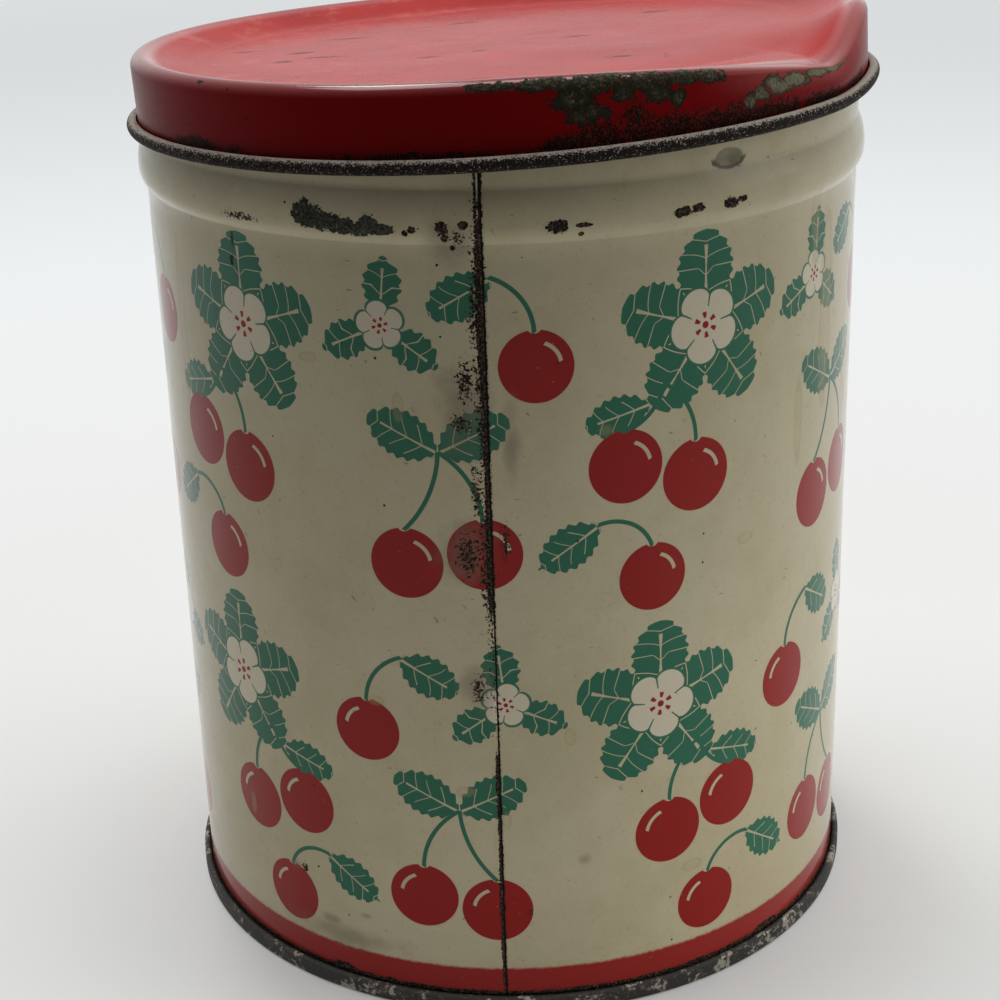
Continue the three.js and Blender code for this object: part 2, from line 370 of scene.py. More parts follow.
def turned(name, path, thickness, angles, place, materials, unroll_radius, rolled_from=None):
    """Turn a sheet round the axis. The place function bends it; the UV map unrolls it.

    The left face has the first material and the right face the second. Both have the first where the
    sheet is rolled up, from one point of the path on.
    """
    path = np.array(path, float)
    left, right = faces_of(path, thickness)
    outline = np.vstack([left, right[::-1]])
    index = np.concatenate([np.arange(len(path)), np.arange(len(path))[::-1]])
    side = np.repeat([1, -1], len(path))
    run = np.concatenate([[0], np.cumsum(np.hypot(*np.diff(path, axis=0).T))])
    angles = np.array(angles)
    columns, rows = len(angles), len(outline)
    turn, row = np.meshgrid(angles, np.arange(rows), indexing="ij")
    points = place(turn, path[index[row]], outline[row], side[row])
    vertices = points.reshape(-1, 3) * MM
    axis_ended = path[0, 0] == 0
    column, first = np.meshgrid(np.arange(columns), np.arange(rows - (1 if axis_ended else 0)), indexing="ij")
    column, first = column.ravel(), first.ravel()
    second, beside = (first + 1) % rows, (column + 1) % columns
    quads = np.stack([column * rows + first, beside * rows + first, beside * rows + second,
                      column * rows + second], 1)
    mesh = bpy.data.meshes.new(name)
    mesh.from_pydata(vertices.tolist(), [], quads.tolist())
    turns = np.append(angles, angles[0] + TURN)
    round_way = np.stack([turns[column], turns[column + 1], turns[column + 1], turns[column]], 1)
    run_way = run[index[np.stack([first, first, second, second], 1)]]
    unrolled = np.stack([round_way * unroll_radius * MM, run_way * MM], -1)
    mesh.uv_layers.new(name="unrolled").data.foreach_set("uv", unrolled.ravel())
    rolled = index[first] >= (len(path) if rolled_from is None else rolled_from)
    mesh.polygons.foreach_set("material_index", np.where((side[first] > 0) | rolled, 0, 1))
    for material in materials:
        mesh.materials.append(material)
    tidy = bmesh.new()
    tidy.from_mesh(mesh)
    bmesh.ops.remove_doubles(tidy, verts=tidy.verts, dist=1e-7)
    bmesh.ops.recalc_face_normals(tidy, faces=tidy.faces)
    tidy.to_mesh(mesh)
    tidy.free()
    mesh.polygons.foreach_set("use_smooth", [True] * len(mesh.polygons))
    mesh.set_sharp_from_angle(angle=math.radians(38))
    piece = bpy.data.objects.new(name, mesh)
    bpy.context.scene.collection.objects.link(piece)
    return piece


def on_circle(turn, radius, height):
    return np.stack([radius * np.sin(turn), -radius * np.cos(turn), height], -1)


def even_turn(count):
    return np.linspace(-math.pi, math.pi, count, endpoint=False)


def with_finer(angles, start, end, step):
    """Adds closely spaced angles, in degrees, to a round of them."""
    finer = np.radians(np.arange(start, end, step))
    kept = angles[(angles < finer[0] - math.radians(step)) | (angles > finer[-1] + math.radians(step))]
    return np.sort(np.concatenate([kept, finer]))


def smooth_step(value, low, high):
    share = np.clip((value - low) / (high - low), 0, 1)
    return share * share * (3 - 2 * share)


def waves(turn, height, seed):
    """Gentle unevenness from -1 to 1 of old sheet, the same each run."""
    value = np.zeros_like(turn)
    for round_count, wave_length, weight in ((2, 90, 0.3), (3, 140, 0.25), (5, 60, 0.25), (8, 45, 0.2)):
        phase = seed * round_count
        value += weight * np.sin(round_count * turn + phase) * np.sin(TURN * height / wave_length + 2 * phase)
    return value


# Print


def leaf(paint, place, x, y, heading, length, width):
    """A pointed leaf with cut edges and pale veins: (green mask, vein mask)."""
    half, middle = length / 2, width / 2
    radius = (half * half + middle * middle) / (2 * middle)
    away = radius - middle
    heading = math.radians(heading)
    way = (math.cos(heading), math.sin(heading))
    centre = (x + way[0] * half, y + way[1] * half)
    upper = paint.distance(place, (centre[0] - way[1] * away, centre[1] + way[0] * away, 0))
    lower = paint.distance(place, (centre[0] + way[1] * away, centre[1] - way[0] * away, 0))
    run = paint.along(place, (way[0], way[1], 0)) - (way[0] * x + way[1] * y)
    teeth = (run * (TURN / 1.7)).maths("SINE") * 0.25
    green = (upper | lower) < (radius + teeth)
    across = abs(upper - lower)
    rib = (across < 0.26) & (run < length * 0.8)
    side = (run - across * 0.45) * (1 / 2.7)
    veins = (side.maths("FRACT") < 0.06) & (across < width * 0.6)
    return green, rib | veins


def stalk(paint, place, start, end, bow, width=0.75):
    """A curved stalk between two places. The bow is its rise, to the left of its way."""
    start, end = np.array(start, float), np.array(end, float)
    middle, chord = (start + end) / 2, end - start
    half = np.hypot(*chord) / 2
    left = np.array([-chord[1], chord[0]]) / (2 * half)
    radius = (half * half + bow * bow) / (2 * abs(bow))
    centre = middle + left * (bow - math.copysign(radius, bow))
    ring = abs(paint.distance(place, (*centre, 0)) - radius) < width / 2
    return ring & (paint.distance(place, (*middle, 0)) < math.hypot(half, bow * 0.5))


def cherry(paint, place, x, y, radius):
    """A round fruit with a notch for its stalk and a pale glint: (red mask, glint mask)."""
    disc = paint.distance(place, (x, y, 0)) < radius
    notch = paint.distance(place, (x + 0.2, y + radius + 0.5, 0)) > 1.15
    red = disc & notch
    ring = abs(paint.distance(place, (x, y, 0)) - radius * 0.66) < 0.32
    side = paint.distance(place, (x - radius * 0.5, y + radius * 0.42, 0)) < radius * 0.34
    return red, ring & side


def blossom(paint, place, x, y, radius, lean):
    """A five petal flower: (petal mask, outline mask, red centre mask)."""
    offset = paint.vector("SUBTRACT", place, (x, y, 0))
    away = paint.vector("LENGTH", offset, output="Value")
    across, up, _ = paint.split(offset)
    turn = across.maths("ARCTAN2", up) * 2.5 + lean
    lobes = abs(turn.maths("SINE"))
    edge = (lobes ** 0.45) * (radius * 0.34) + radius * 0.66
    petals = away < edge
    outline = abs(away - edge) < 0.24
    parting = (lobes < 0.09) & (away > radius * 0.45) & petals
    dots = ((turn * 2.4).maths("SINE") > 0.35) & (abs(away - radius * 0.25) < radius * 0.075)
    heart = dots | (away < radius * 0.09)
    return petals, outline | parting, heart


def ring_of_leaves(paint, place, x, y, count, turn, reach, length, width):
    """Leaves set evenly round a centre, drawn once and folded round: (green mask, vein mask)."""
    across, up, _ = paint.split(paint.vector("SUBTRACT", place, (x, y, 0)))
    away = paint.vector("LENGTH", paint.join(across, up), output="Value")
    share = (up.maths("ARCTAN2", across) - math.radians(turn)) * (count / TURN)
    angle = ((share + 0.5).maths("FRACT") - 0.5) * (TURN / count)
    folded = paint.join(away * angle.maths("COSINE"), away * angle.maths("SINE"))
    return leaf(paint, folded, reach, 0, 0, length, width)


CHERRIES = (
    (-22.5, -8.5, 6.3), (-9.8, -5.0, 6.3), (4.5, 13.0, 6.0), (13.5, -18.5, 6.2), (26.5, -20.5, 6.2),
    (-14.5, -25.0, 6.0),
)
STALKS = (
    ((-22.3, -2.6), (-16.5, 8.0), 1.6), ((-9.6, 0.9), (-16.5, 8.0), 1.3),
    ((4.7, 18.5), (11.5, 27.5), 1.8), ((13.7, -12.7), (20.5, -1.0), 1.7),
    ((26.7, -14.7), (20.5, -1.0), 1.4), ((-14.3, -19.5), (-5.0, -14.5), 2.2),
)
LEAVES = ((11.3, 27.2, -30, 11.5, 7.2), (-5.2, -14.6, -34, 12.0, 7.2), (-14.0, 5.0, -14, 11.5, 6.6))
PAIRED_LEAF = (20.5, -1.2, 27, 13.0, 7.8)
LEAF_RINGS = ((-24.0, 16.5, 5, 18, 2.6, 13.0, 10.4), (29.0, 19.5, 3, -24, 2.2, 8.8, 6.2))
BLOSSOMS = ((-24.0, 16.5, 6.6, 0.4), (29.0, 19.5, 4.2, 1.2))
REPEATS_ROUND = 5
ROW_HEIGHT = 65.3
FIRST_COLUMN = 9.0


def print_masks(paint, across, up, radius, foot):
    """The cherry print, from the distance round the body and the height: its ink masks."""
    period = TURN * radius / REPEATS_ROUND
    rows = (up - foot) / ROW_HEIGHT
    odd = (rows.maths("FLOOR") * 0.5).maths("FRACT") * 2.0
    turn = ((across - FIRST_COLUMN) / period + odd * 0.5).maths("FRACT")
    x = (turn - 0.5) * period * (1 - odd * 2)
    y = (rows.maths("FRACT") - 0.5) * ROW_HEIGHT
    place = paint.join(x, y)
    pair_x = PAIRED_LEAF[0]
    paired = paint.join(abs(x - pair_x) + pair_x, y)
    leaves = [leaf(paint, place, *values) for values in LEAVES]
    leaves.append(leaf(paint, paired, *PAIRED_LEAF))
    leaves += [ring_of_leaves(paint, place, *values) for values in LEAF_RINGS]
    fruits = [cherry(paint, place, *values) for values in CHERRIES]
    flowers = [blossom(paint, place, *values) for values in BLOSSOMS]

    def total(masks):
        masks = list(masks)
        joined = masks[0]
        for mask in masks[1:]:
            joined = joined | mask
        return joined

    green = total([mask & (1 - veins) for mask, veins in leaves]
                  + [stalk(paint, place, *values) for values in STALKS])
    red, glint = total(fruit[0] for fruit in fruits), total(fruit[1] for fruit in fruits)
    pale, outline, heart = (total(flower[part] for flower in flowers) for part in range(3))
    return green, red, glint, pale, outline, heart


# Where the body and the lid are worn: (distance round, height, half width, half height) in mm


def at(angle, radius=63.5):
    """Distance round the sheet of an angle in degrees."""
    return math.radians(angle) * radius


SEAM_DEGREES = -3.2

BEAD_CHIPS = (
    (at(-28.8), 143.2, 1.7, 1.7), (at(-27.3), 142.9, 2.6, 2.0), (at(-25.2), 142.3, 3.2, 1.7),
    (at(-22.6), 141.8, 3.4, 1.35), (at(-20.0), 141.4, 3.0, 1.15), (at(-18.6), 142.1, 1.7, 1.7),
    (at(-16.6), 141.5, 2.0, 0.95), (at(-28.2), 144.6, 0.9, 1.0), (at(-12.4), 141.6, 0.7, 0.6),
    (at(-13.4), 141.0, 0.5, 0.5), (at(-8.3), 141.9, 1.0, 1.2), (at(-8.0), 140.4, 0.6, 0.8),
    (at(-5.4), 142.3, 0.8, 0.7), (at(-4.0), 152.3, 0.7, 1.2), (at(-7.0), 138.6, 0.5, 0.5),
    (at(7.1), 141.7, 1.8, 1.15), (at(10.8), 141.7, 1.3, 0.38), (at(10.5), 140.2, 0.5, 0.4),
    (at(25.3), 142.0, 1.9, 0.9), (at(27.6), 142.3, 1.2, 0.8), (at(33.3), 142.2, 1.5, 0.95),
    (at(35.2), 142.5, 1.1, 0.55), (at(-43.1), 137.0, 0.3, 1.3), (at(-43.6), 133.4, 0.4, 1.0),
    (at(-38.6), 141.2, 0.6, 0.4), (at(165.0), 142.0, 4.0, 0.8), (at(-110.0), 142.2, 1.8, 1.0),
)
SPECK_FIELDS = (
    (at(-6.9), 110.3, 2.6, 2.6), (at(-6.0), 117.0, 2.2, 6.0), (at(-6.4), 88.0, 3.2, 6.0),
    (at(-5.0), 99.0, 1.3, 8.0), (at(-4.6), 128.0, 1.4, 9.0), (at(-40.0), 141.4, 6.0, 1.0),
    (at(-1.0), 90.0, 1.3, 5.0), (at(-5.6), 63.5, 1.8, 4.0), (at(-6.2), 140.2, 1.8, 1.9),
    (at(150.0), 121.0, 2.2, 1.6), (at(-118.0), 60.0, 1.4, 2.6),
    (at(-38.0), 22.0, 1.5, 1.5), (at(1.0), 20.0, 0.8, 1.2),
)
DIRT_FIELDS = (
    (at(-6.6), 112.0, 5.0, 9.0), (at(-7.0), 89.0, 5.5, 7.0), (at(-6.0), 63.5, 3.5, 5.0),
    (at(-7.0), 140.0, 5.0, 5.0), (at(-33.0), 13.0, 3.2, 1.4), (at(-40.0), 22.0, 1.6, 1.4),
    (at(-26.0), 16.0, 2.0, 0.9), (at(10.0), 30.0, 1.6, 1.6), (at(0.3), 106.0, 2.0, 9.0),
    (at(-30.0), 10.5, 16.0, 3.0), (at(165.0), 38.0, 3.0, 8.0),
)
STAINS = (
    (at(54.0), 134.0, 1.6, 7.0), (at(58.5), 119.0, 2.4, 19.0), (at(50.5), 101.0, 1.3, 9.0),
    (at(70.0), 112.0, 3.0, 15.0), (at(-60.0), 118.0, 1.6, 16.0), (at(-82.0), 128.0, 2.6, 9.0),
    (at(-8.2), 44.0, 1.8, 1.1), (at(-2.0), 38.5, 0.7, 1.6), (at(-16.0), 112.5, 1.0, 2.6),
    (at(-30.0), 119.5, 1.8, 0.9), (at(28.0), 24.0, 2.2, 1.2), (at(14.0), 108.0, 1.4, 1.2),
    (at(-22.0), 60.0, 1.6, 1.0), (at(-50.0), 30.0, 0.9, 2.6), (at(38.0), 84.0, 1.6, 0.9),
    (at(8.0), 54.0, 0.9, 1.4),
)
DIMPLE = ((at(33.6), 149.1, 3.0, 1.6),)
BAND_NICKS = (
    (at(-31), 4.0, 2.4, 0.9), (at(-22), 3.6, 2.0, 0.5), (at(45), 3.9, 3.0, 0.7), (at(140), 4.4, 2.0, 1.2),
    (at(-150), 4.2, 2.5, 0.9),
)
# Height, half width of the rust, density of the specks beside it and of the pale gap within it
SEAM_WEAR = (
    (3, 0.32, 0.1, 0.0), (20, 0.44, 0.2, 0.0), (34, 0.36, 0.2, 0.0), (50, 0.42, 0.3, 0.1),
    (53, 0.24, 0.3, 0.9), (66, 0.28, 0.7, 1.0), (76, 0.3, 0.8, 0.7), (80, 0.6, 1.0, 0.1),
    (90, 0.6, 1.0, 0.0), (98, 0.48, 0.8, 0.0), (110, 0.58, 1.0, 0.0), (122, 0.72, 0.9, 0.0),
    (137, 0.78, 0.8, 0.0), (142, 0.6, 0.6, 0.2), (148, 0.62, 0.4, 0.9),
)


SEAM_WEAR_TOP = 150
GROUND_FADED = (0.9, 0.89, 0.84)
MOTTLED = (0.28, 0.23, 0.13)
# Colour of real grime, also used for painted shade below the lid's curl
GRIME_AND_SHADE = (0.15, 0.13, 0.095)
STAIN = (0.36, 0.29, 0.13)
STAIN_RIM = (0.2, 0.145, 0.06)
SCRATCH = (0.14, 0.11, 0.07)
STEEL_DARK, STEEL_PALE = (0.017, 0.017, 0.013), (0.062, 0.06, 0.048)
OXIDE_GRAIN = (0.26, 0.23, 0.17)
DIMPLE_FLOOR, DIMPLE_LIP = (0.14, 0.125, 0.07), (0.04, 0.035, 0.022)


def printed_outside():
    """Cream litho print with its cherries, red band, seam rust, chips, specks and stains."""
    size, colour = sizes(), colours()
    paint = Paint.named("cream print")
    place = paint.point()
    across, _, _ = paint.split(paint.unrolled())
    _, _, up = paint.split(place)
    radius = size.body_diameter / 2 / MM
    across, up = across * (1 / MM), up * (1 / MM)
    crest, band_top = size.bead_crest / MM, size.band_top / MM
    sheet_place = paint.join(across * MM, up * MM)
    grit = paint.grain(place, 0.00042, 2.0, 0.6)
    fine = paint.grain(place, 0.0011, 5.0, 0.7)
    middle = paint.grain(place, 0.006, 3.0, 0.6)
    broad = paint.grain(place, 0.035, 2.0)

    green, red, glint, pale, outline, heart = print_masks(paint, across, up, radius, band_top)
    faded = [c * f for c, f in zip(colour.cream, GROUND_FADED)]
    ground = paint.mix(paint.between(broad + middle * 0.5, 0.55, 0.95), colour.cream, faded)
    ground = paint.mix(paint.between(grit + fine, 1.05, 1.35) * 0.35, ground, MOTTLED)
    worn_ink = paint.between(fine, 0.22, 0.3)
    ink = paint.mix(green & worn_ink, ground, colour.leaf)
    ink = paint.mix(pale, ink, colour.petal)
    ink = paint.mix(outline * 0.95, ink, colour.leaf)
    ink = paint.mix(heart, ink, colour.fruit)
    ink = paint.mix(red & worn_ink, ink, colour.fruit)
    ink = paint.mix(glint, ink, colour.cream)
    ink = paint.mix((up < crest - 3.6) & (up > band_top), ground, ink)
    in_band = paint.between(up + (fine - 0.5) * 0.9, band_top + 0.35, band_top - 0.35)
    ink = paint.mix(in_band, ink, colour.band)

    grimy = paint.between(paint.zone(sheet_place, DIRT_FIELDS) + (middle - 0.5) * 1.6, 1.1, 0.1) * 0.55
    # Painted shade on the wall below the lid's curl, mixed in with the real grime of the dirt fields
    shade_under_curl = paint.between(up + (middle - 0.5) * 8, 146, 154) * 0.12
    ink = paint.mix(grimy | shade_under_curl, ink, GRIME_AND_SHADE)
    stain = paint.zone(sheet_place, STAINS) + (middle - 0.5) * 1.3
    ink = paint.mix(paint.between(stain, 1.0, 0.6) * 0.26, ink, STAIN)
    ink = paint.mix(paint.between(abs(stain - 0.85), 0.26, 0.03) * 0.2, ink, STAIN_RIM)

    chip_zone = paint.zone(sheet_place, BEAD_CHIPS) + (fine - 0.5) * 1.3 + (grit - 0.5) * 0.9
    chipped = chip_zone < 0.95
    near = paint.between(paint.zone(sheet_place, SPECK_FIELDS), 1.3, 0.1)
    stops = [(height / SEAM_WEAR_TOP, tuple(amounts)) for height, *amounts in SEAM_WEAR]
    wear = paint.node("ValToRGB", {"stops": stops}, {0: up / SEAM_WEAR_TOP})
    half, dots, gap = paint.split(wear)
    seam = across - at(SEAM_DEGREES)
    ragged = (fine + grit - 1.0) * 1.5
    rusty_seam = (abs(seam + half - 0.42) + ragged * (half * 0.7 + 0.3)) < half
    pale_gap = (abs(seam + half - 0.34) < 0.13) & (gap + ragged > 0.55)
    seam_line = abs(seam - 0.24 + ragged * 0.12) < 0.14
    beside = paint.between(abs(seam + half), half * 1.6 + 0.9, half) * dots
    specks = paint.speckle(place, 0.00045, near | (beside * 0.85))
    flecks = paint.stipple(place, 0.0026, 0.13, 0.1)
    foot_line = (up + (fine - 0.5) * 1.6) < 3.8
    nicked = (paint.zone(sheet_place, BAND_NICKS) + (fine - 0.5) * 1.8) < 0.9

    dash = paint.grain(paint.stretched(sheet_place, 0.35, 1, 1), 0.0007, 1.0)
    slant = paint.join(across * MM + up * (0.7 * MM), (up - across * 0.7) * (0.25 * MM))
    scratch = paint.grain(slant, 0.0008, 1.0)
    scuffed = (dash | scratch) > (0.785 - paint.between(middle, 0.5, 0.72) * 0.05)
    ink = paint.mix(scuffed * 0.6, ink, SCRATCH)

    bare = chipped | (rusty_seam & (1 - pale_gap)) | specks | flecks | foot_line | nicked
    oxide = paint.mix(paint.between(grit, 0.44, 0.6), colour.soot, colour.rust)
    steel = paint.mix(paint.between(grit + middle * 0.4, 0.55, 0.8), STEEL_DARK, STEEL_PALE)
    oxide = paint.mix(chipped & (across < at(-15)), oxide, steel)
    oxide = paint.mix(paint.between(grit + fine * 0.3, 0.8, 0.88) * 0.7, oxide, OXIDE_GRAIN)
    dimple = paint.zone(sheet_place, DIMPLE) + (fine - 0.5) * 0.5
    surface = paint.mix(paint.between(dimple, 1.0, 0.8) * 0.8, ink, DIMPLE_FLOOR)
    lip = paint.between(abs(dimple - 1.0), 0.22, 0.08) * paint.between(up, 149.4, 148.6)
    surface = paint.mix(lip * 0.85, surface, DIMPLE_LIP)
    surface = paint.mix(bare, surface, oxide)
    surface = paint.mix(seam_line, surface, colour.soot)
    worn = bare | seam_line
    return paint.finish(
        Base_Color=surface,
        Roughness=worn * 0.4 + 0.36 + (middle - 0.5) * 0.16 + grimy * 0.2,
        Coat_Weight=(1 - worn) * (0.95 - grimy * 0.6),
        Coat_Roughness=0.13,
        Coat_IOR=1.2,
        Specular_IOR_Level=0.04,
        Normal=paint.bump(paint.between(chip_zone, 0.9, 1.0) + fine * 0.16, 0.00006),
    )


INSIDE_PALE, INSIDE_DULL = (0.5, 0.47, 0.41), (0.34, 0.31, 0.26)


def lacquered_inside():
    """Plain tinplate inside the body and the lid, gone brown in spots."""
    colour = colours()
    paint = Paint.named("plain tinplate")
    place = paint.point()
    clouds = paint.grain(place, 0.02, 5.0, 0.6)
    fine = paint.grain(place, 0.0016, 5.0, 0.65)
    streaks = paint.grain(paint.stretched(place, 1, 1, 0.08), 0.002, 3.0)
    clean = paint.mix(paint.between(clouds, 0.3, 0.7), INSIDE_PALE, INSIDE_DULL)
    spots = paint.between(fine + clouds * 0.6, 0.92, 1.02)
    dots = paint.stipple(place, 0.0035, 0.1, 0.16)
    rusty = spots | dots
    return paint.finish(
        Base_Color=paint.mix(rusty, clean, colour.rust),
        Roughness=0.38 + streaks * 0.2 + rusty * 0.3,
        Metallic=(1 - rusty) * 0.85,
        Normal=paint.bump(fine + streaks * 0.5, 0.00002),
    )


# Body


HOOK_TIP = 2.72
HOOK_BOTTOM = 1.22
BODY_HOOK_RADIUS = 64.32
MOUTH_CURL = 2.0
BEAD_LOWER = 3.7
BEAD_UPPER = 4.9
SEAM_ANGLE = math.radians(SEAM_DEGREES)
LOCK_LEFT = -4.6
LOCK_RIGHT = 0.36
LOCK_DEPTH = 1.08
LOCK_FOOT = 5.4
LOCK_TOP = 157.2


def flank(wall, standout, crest, rise, side, steepness, rounding, count=16):
    """Half of the stop bead, from its root to its crest."""
    shares = np.linspace(1, 0, count + 1)
    return [(wall + standout * (1 - share ** steepness) ** rounding, crest + side * rise * share)
            for share in shares]


def body_path(size):
    sheet = size.sheet / MM
    wall = size.body_diameter / 2 / MM - sheet / 2
    crest, mouth = size.bead_crest / MM, size.mouth_height / MM
    hook_turn = (BODY_HOOK_RADIUS - wall) / 2
    hook = arc(hook_turn, (wall + hook_turn, HOOK_BOTTOM + sheet / 2 + hook_turn - 0.28), 0, -180)
    lower = flank(wall, size.bead_standout / MM, crest, BEAD_LOWER, -1, 3.0, 1.4)
    upper = flank(wall, size.bead_standout / MM, crest, BEAD_UPPER, 1, 2.0, 1.0)[::-1]
    curl_radius = (MOUTH_CURL - sheet) / 2
    curl = arc(curl_radius, (wall - curl_radius, mouth - MOUTH_CURL / 2), 0, 300)
    straight = steps(hook[-1], lower[0], 3.0)
    return [(BODY_HOOK_RADIUS, HOOK_TIP), *hook, *straight, *lower, *upper[1:],
            *steps(upper[-1], curl[0], 0.8), *curl]


def body_place(size):
    wall_radius = size.body_diameter / 2 / MM

    def place(turn, middle, outline, side):
        radius, height = outline[..., 0], outline[..., 1]
        inner = side > 0
        on_wall = smooth_step(height, 4.5, 14) * smooth_step(height, 137, 128)
        ripple = waves(turn, height, 1.3) * 0.16 * on_wall
        dimple = np.exp(-((np.degrees(turn) - 33.7) / 1.5) ** 2 - ((height - 149.0) / 1.1) ** 2)
        ripple = ripple + 0.55 * dimple
        off_seam = (turn - SEAM_ANGLE) * wall_radius
        seam_run = smooth_step(height, 3.2, 3.6) * smooth_step(height, 157.6, 157.0)
        groove = 0.2 * np.exp(-((off_seam - 0.25) / 0.22) ** 2)
        groove = groove - 0.05 * np.exp(-((off_seam + 0.35) / 0.35) ** 2)
        strip = smooth_step(off_seam, LOCK_LEFT - 0.05, LOCK_LEFT + 0.05)
        strip *= smooth_step(off_seam, LOCK_RIGHT + 0.05, LOCK_RIGHT - 0.05)
        strip *= smooth_step(height, LOCK_FOOT, LOCK_FOOT + 0.1)
        strip *= smooth_step(height, LOCK_TOP, LOCK_TOP - 0.1)
        strip *= middle[..., 0] > wall_radius - 1
        radius = radius - ripple - np.where(inner, strip * LOCK_DEPTH, groove * seam_run)
        return on_circle(turn, radius, height)

    return place


class CANISTER_OT_body(bpy.types.Operator):
    """Builds the printed body sheet with its side seam, bead and curls"""

    bl_idname = "canister.body"
    bl_label = "Printed body"

    def execute(self, context):
        size = sizes()
        angles = with_finer(with_finer(even_turn(240), -8.0, -1.6, 0.11), 29.0, 38.0, 0.35)
        piece = turned("tin_body", body_path(size), size.sheet / MM, angles, body_place(size),
                       [lacquered_inside(), printed_outside()], size.body_diameter / 2 / MM)
        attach(piece, "body")
        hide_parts("body_sheet")
        return {"FINISHED"}


# Bottom


RING_BRIGHT = (0.3, 0.275, 0.22)


def worn_ring():
    """Bare tinplate of the foot: dark brown oxide with rubbed bright spots."""
    colour = colours()
    paint = Paint.named("worn tinplate")
    place = paint.point()
    fine = paint.grain(place, 0.0011, 5.0, 0.7)
    middle = paint.grain(place, 0.005, 4.0, 0.6)
    broad = paint.grain(place, 0.02, 3.0)
    rusty = paint.between(fine + middle * 0.8, 0.86, 1.06)
    dark = paint.mix(rusty, colour.soot, colour.rust)
    rubbed = paint.between(fine * 0.8 + middle + broad * 0.3, 1.12, 1.2)
    specks = paint.speckle(paint.stretched(place, 1, 1, 1.6), 0.0006, 0.19)
    bright = rubbed | specks
    return paint.finish(
        Base_Color=paint.mix(bright, dark, RING_BRIGHT),
        Roughness=0.7 - bright * 0.25,
        Metallic=bright * 0.5,
        Normal=paint.bump(fine + middle, 0.00008),
    )


def bottom_path(size):
    sheet = size.sheet / MM
    body = size.body_diameter / 2 / MM
    recess, rise, gap, seam = 4.0, 0.9, 0.2, 3.2
    panel = recess + sheet / 2
    chuck = body - sheet - gap - sheet / 2
    hook = body + gap + sheet / 2
    wall = BODY_HOOK_RADIUS + sheet + gap
    corner = 0.5 - sheet / 2
    base = sheet / 2 + corner
    turn = (wall - hook) / 2
    return [
        (0, panel), *steps((0, panel), (47.1, panel), 6.0),
        (47.1, panel), (47.5, panel + 0.3), (48, panel + rise),
        *steps((48, panel + rise), (53, panel + rise), 2.0),
        (53, panel + rise), (53.4, panel + 0.3), (53.9, panel),
        *steps((53.9, panel), (chuck - 1.2, panel), 2.0),
        *arc(1.2, (chuck - 1.2, panel - 1.2), 90, 0),
        *arc(corner, (chuck + corner, base), 180, 270),
        *steps((chuck + corner, base - corner), (wall - corner, base - corner), 1.0),
        *arc(corner, (wall - corner, base), 270, 360),
        *arc(turn, (hook + turn, seam - sheet / 2 - turn), 0, 180),
        (hook, 1.7),
    ]


class CANISTER_OT_bottom(bpy.types.Operator):
    """Builds the bottom end with the double seam that the tin stands on"""

    bl_idname = "canister.bottom"
    bl_label = "Bottom end"

    def execute(self, context):
        size = sizes()

        def place(turn, middle, outline, side):
            return on_circle(turn, outline[..., 0], outline[..., 1])

        ring = worn_ring()
        piece = turned("tin_bottom", bottom_path(size), size.sheet / MM, even_turn(300), place,
                       [ring, ring], size.body_diameter / 2 / MM)
        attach(piece, "body")
        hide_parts("bottom_end")
        return {"FINISHED"}


class CANISTER_OT_compound(bpy.types.Operator):
    """Gives the sealing ring inside the double seam its rubber"""

    bl_idname = "canister.compound"
    bl_label = "Sealing ring"

    def execute(self, context):
        paint = Paint.named("sealing rubber")
        grain = paint.grain(paint.point(), 0.0006, 4.0, 0.6)
        rubber = paint.finish(
            Base_Color=paint.mix(paint.between(grain, 0.3, 0.7), (0.05, 0.045, 0.04), (0.09, 0.08, 0.07)),
            Roughness=0.7 + grain * 0.2,
            Normal=paint.bump(grain, 0.00003),
        )
        ring = frame["nodes"]["seam_compound"]
        ring.data.materials.clear()
        ring.data.materials.append(rubber)
        return {"FINISHED"}


# Lid


LID_FIT_RADIUS = 64.39
RIM_RADIUS = 62.53
SHOULDER = 2.0
PANEL_RADIUS = 54.0
PANEL_RECESS = 3.2
LID_CURL = 2.28
LID_LEAN = Euler((math.radians(-1.16), math.radians(-2.55), 0.0))
LID_SHIFT = 0.3
LEAN_PIVOT = 0.3
LID_WARP = 0.62
DENT_DEEPEST = 56.0
DENT_END = 80.0
DENT_SLOPE = 1.7
DENT_BULGE = 1.0
DENT_CURL_SHARE = 0.12
DENT_SKIRT_SHARE = 0.78
DENT_FADE = 0.64
LID_WEAR_RADIUS = 64.4


def on_lid(angle):
    """Distance round the lid's skirt of an angle in degrees."""
    return at(angle, LID_WEAR_RADIUS)


CREST_BARE = (
    (on_lid(-1.0), 1.9, 4.0, 0.8), (on_lid(6.0), 2.1, 5.0, 1.2), (on_lid(13.0), 2.4, 5.0, 1.8),
    (on_lid(20.0), 2.4, 5.0, 1.6), (on_lid(25.5), 2.2, 3.5, 1.4), (on_lid(29.6), 2.6, 3.0, 1.8),
    (on_lid(9.6), 4.6, 3.4, 1.8), (on_lid(11.8), 6.9, 3.4, 1.9), (on_lid(16.5), 4.2, 2.0, 1.6),
    (on_lid(21.4), 4.8, 2.8, 1.8), (on_lid(24.4), 5.9, 1.2, 1.6), (on_lid(35.9), 8.2, 1.4, 1.4),
    (on_lid(38.0), 6.8, 2.1, 1.6), (on_lid(41.2), 5.4, 3.2, 2.0), (on_lid(45.5), 4.5, 4.2, 1.9),
    (on_lid(50.8), 3.7, 4.4, 1.4), (on_lid(56.0), 3.1, 3.6, 0.9), (on_lid(59.5), 2.8, 2.4, 0.5),
    (on_lid(-47.0), 1.6, 0.9, 0.4), (on_lid(150.0), 2.0, 6.0, 0.9), (on_lid(-130.0), 2.0, 3.0, 0.8),
)
